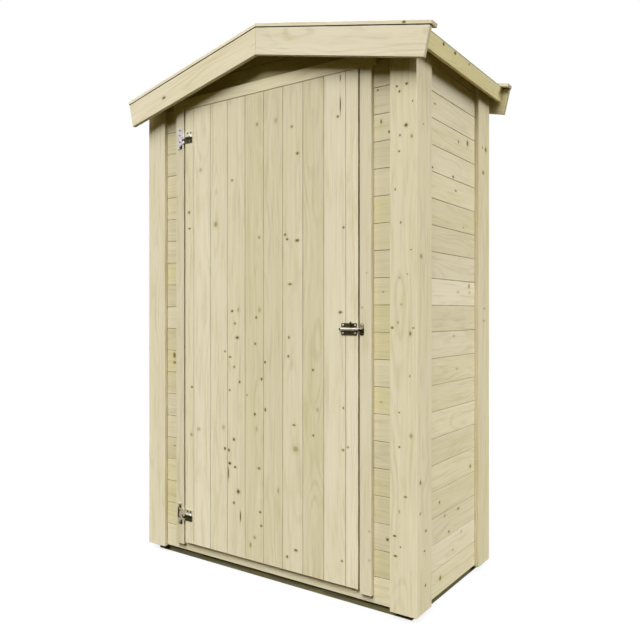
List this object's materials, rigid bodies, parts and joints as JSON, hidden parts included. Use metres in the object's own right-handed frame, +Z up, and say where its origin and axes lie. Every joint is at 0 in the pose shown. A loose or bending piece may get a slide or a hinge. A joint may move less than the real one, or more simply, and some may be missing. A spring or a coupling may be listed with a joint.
{
  "type": "tool shed",
  "caption": "Small timber tool shed: gabled felt roof, level board walls and an outward-opening board door on butt hinges with a sliding barrel bolt.",
  "frame": {"origin": "on the ground under the middle of the shed", "axes": "+X to the right seen from the front, +Y from the front to the back, +Z up; the door faces -Y"},
  "size_m": [1.3998, 0.73, 2.0473],
  "materials": {
    "pine_boards": "planed, pressure-treated",
    "pine_trim": "planed, pressure-treated",
    "pine_frame": "sawn, pressure-treated",
    "base_timber": "sawn, dark treated",
    "roofing_felt": "mineral, matte",
    "nail_steel": "galvanised, dull",
    "zinc_steel": "bright zinc"
  },
  "bodies": {
    "shed": {"floor_rail_front": "base_timber", "floor_rail_rear": "base_timber", "floor_joists": "base_timber", "floor_boards": "pine_frame", "corner_post_front_left": "pine_frame", "corner_post_front_right": "pine_frame", "corner_post_rear_left": "pine_frame", "corner_post_rear_right": "pine_frame", "door_jamb_left": "pine_frame", "door_jamb_right": "pine_frame", "lintel_rail": "pine_frame", "rear_stud": "pine_frame", "front_boards_left": "pine_boards", "front_boards_right": "pine_boards", "front_sill_board": "pine_boards", "front_gable_boards": "pine_boards", "left_wall_boards": "pine_boards", "right_wall_boards": "pine_boards", "rear_wall_boards": "pine_boards", "corner_board_front_left": "pine_trim", "corner_board_front_right": "pine_trim", "corner_board_rear_left": "pine_trim", "corner_board_rear_right": "pine_trim", "side_board_front_left": "pine_trim", "side_board_front_right": "pine_trim", "side_board_rear_left": "pine_trim", "side_board_rear_right": "pine_trim", "door_casing_left": "pine_trim", "door_casing_right": "pine_trim", "door_casing_top": "pine_trim", "ridge_purlin": "pine_frame", "eave_purlin_left": "pine_frame", "eave_purlin_right": "pine_frame", "roof_boards_left": "pine_frame", "roof_boards_right": "pine_frame", "roofing_felt": "roofing_felt", "barge_board_front_left": "pine_trim", "barge_board_front_right": "pine_trim", "barge_board_rear_left": "pine_trim", "barge_board_rear_right": "pine_trim", "cap_battens_front": "pine_trim", "cap_battens_rear": "pine_trim", "eave_board_left": "pine_trim", "eave_board_right": "pine_trim", "felt_nails": "nail_steel", "hinge_plate_upper": "zinc_steel", "hinge_plate_lower": "zinc_steel", "hinge_pins": "zinc_steel", "latch_keeper": "zinc_steel", "casing_screws": "zinc_steel"},
    "door": {"door_boards": "pine_boards", "door_ledge_top": "pine_frame", "door_ledge_middle": "pine_frame", "door_ledge_bottom": "pine_frame", "door_braces": "pine_frame", "hinge_leaf_upper": "zinc_steel", "hinge_leaf_lower": "zinc_steel", "latch_plate": "zinc_steel", "door_screws": "zinc_steel"},
    "bolt": {"latch_bolt": "zinc_steel"}
  },
  "joints": [
    {"name": "door_hinge", "type": "hinge", "parent": "shed", "child": "door", "pos_m": [-0.4125, -0.3225, 0.94], "axis": [0, 0, -1], "range_deg": [0, 150]},
    {"name": "bolt_slide", "type": "slide", "parent": "door", "child": "bolt", "axis": [1, 0, 0], "range_m": [-0.013, 0.011]}
  ]
}
